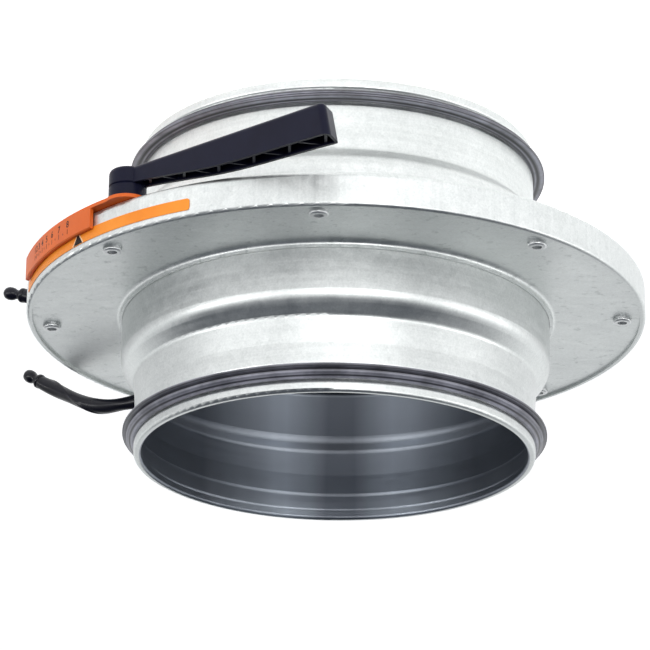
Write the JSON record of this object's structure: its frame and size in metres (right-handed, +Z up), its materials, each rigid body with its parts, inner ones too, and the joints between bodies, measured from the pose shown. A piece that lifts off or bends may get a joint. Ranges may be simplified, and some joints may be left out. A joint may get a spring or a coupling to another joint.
{
  "type": "volume control damper",
  "caption": "Round iris damper for ventilation duct: lapping blades turned by a ring with a lever and opening scale, gasketed spigots and measuring hoses.",
  "frame": {"origin": "duct axis at the open end of the lower spigot, on which the damper stands", "axes": "+Z up the duct axis to the end of the upper spigot; the handle is on the -Y side, the hoses on the +X side"},
  "size_m": [0.2061, 0.2188, 0.1012],
  "materials": {
    "galvanised_sheet": "hot-dip galvanised sheet with a fine spangle, satin",
    "blade_steel": "galvanised sheet, satin",
    "zinc_steel": "zinc plated, bright satin",
    "gasket_rubber": "matt, dark grey",
    "hose_rubber": "satin, black",
    "black_plastic": "moulded, fine matt grain",
    "orange_plastic": "moulded, satin",
    "orange_label": "printed film"
  },
  "bodies": {
    "housing": {"rim_pan": "galvanised_sheet", "cover_plate": "galvanised_sheet", "upper_spigot": "galvanised_sheet", "lower_spigot": "galvanised_sheet", "upper_gasket": "gasket_rubber", "lower_gasket": "gasket_rubber", "pivot_rivets": "zinc_steel", "pivot_spacers": "zinc_steel", "index_label": "orange_label", "upper_nipple": "black_plastic", "lower_nipple": "black_plastic", "upper_hose": "hose_rubber", "lower_hose": "hose_rubber", "upper_plug": "black_plastic", "lower_plug": "black_plastic"},
    "ring": {"control_ring": "blade_steel", "clamp_stud": "zinc_steel", "opening_scale": "orange_plastic", "handle_collar": "black_plastic"},
    "lever": {"handle_lever": "black_plastic", "clamp_nut": "zinc_steel"},
    "blade_1": {"blade_1": "blade_steel", "drive_pin_1": "zinc_steel"},
    "blade_2": {"blade_2": "blade_steel", "drive_pin_2": "zinc_steel"},
    "blade_3": {"blade_3": "blade_steel", "drive_pin_3": "zinc_steel"},
    "blade_4": {"blade_4": "blade_steel", "drive_pin_4": "zinc_steel"},
    "blade_5": {"blade_5": "blade_steel", "drive_pin_5": "zinc_steel"},
    "blade_6": {"blade_6": "blade_steel", "drive_pin_6": "zinc_steel"},
    "blade_7": {"blade_7": "blade_steel", "drive_pin_7": "zinc_steel"},
    "blade_8": {"blade_8": "blade_steel", "drive_pin_8": "zinc_steel"}
  },
  "joints": [
    {"name": "ring_turn", "type": "hinge", "parent": "housing", "child": "ring", "pos_m": [0, 0, 0.0469], "axis": [0, 0, 1], "range_deg": [-18, 0]},
    {"name": "lever_swing", "type": "hinge", "parent": "ring", "child": "lever", "pos_m": [0.06275, -0.06824, 0.03935], "axis": [0, 0, 1], "range_deg": [0, 60]},
    {"name": "blade_1_swing", "type": "hinge", "parent": "housing", "child": "blade_1", "pos_m": [0.08949, 0.00563, 0.05188], "axis": [-0.0273, -0.0046, 0.9996], "range_deg": [-20, 0]},
    {"name": "blade_2_swing", "type": "hinge", "parent": "housing", "child": "blade_2", "pos_m": [0.0593, 0.06726, 0.05188], "axis": [-0.0161, -0.0226, 0.9996], "range_deg": [-20, 0]},
    {"name": "blade_3_swing", "type": "hinge", "parent": "housing", "child": "blade_3", "pos_m": [-0.00563, 0.08949, 0.05188], "axis": [0.0046, -0.0273, 0.9996], "range_deg": [-20, 0]},
    {"name": "blade_4_swing", "type": "hinge", "parent": "housing", "child": "blade_4", "pos_m": [-0.06726, 0.0593, 0.05188], "axis": [0.0226, -0.0161, 0.9996], "range_deg": [-20, 0]},
    {"name": "blade_5_swing", "type": "hinge", "parent": "housing", "child": "blade_5", "pos_m": [-0.08949, -0.00563, 0.05188], "axis": [0.0273, 0.0046, 0.9996], "range_deg": [-20, 0]},
    {"name": "blade_6_swing", "type": "hinge", "parent": "housing", "child": "blade_6", "pos_m": [-0.0593, -0.06726, 0.05188], "axis": [0.0161, 0.0226, 0.9996], "range_deg": [-20, 0]},
    {"name": "blade_7_swing", "type": "hinge", "parent": "housing", "child": "blade_7", "pos_m": [0.00563, -0.08949, 0.05188], "axis": [-0.0046, 0.0273, 0.9996], "range_deg": [-20, 0]},
    {"name": "blade_8_swing", "type": "hinge", "parent": "housing", "child": "blade_8", "pos_m": [0.06726, -0.0593, 0.05188], "axis": [-0.0226, 0.0161, 0.9996], "range_deg": [-20, 0]}
  ],
  "couplings": [
    {"joint": "blade_1_swing", "follows": "ring_turn", "ratio": 1.1111},
    {"joint": "blade_2_swing", "follows": "ring_turn", "ratio": 1.1111},
    {"joint": "blade_3_swing", "follows": "ring_turn", "ratio": 1.1111},
    {"joint": "blade_4_swing", "follows": "ring_turn", "ratio": 1.1111},
    {"joint": "blade_5_swing", "follows": "ring_turn", "ratio": 1.1111},
    {"joint": "blade_6_swing", "follows": "ring_turn", "ratio": 1.1111},
    {"joint": "blade_7_swing", "follows": "ring_turn", "ratio": 1.1111},
    {"joint": "blade_8_swing", "follows": "ring_turn", "ratio": 1.1111}
  ]
}
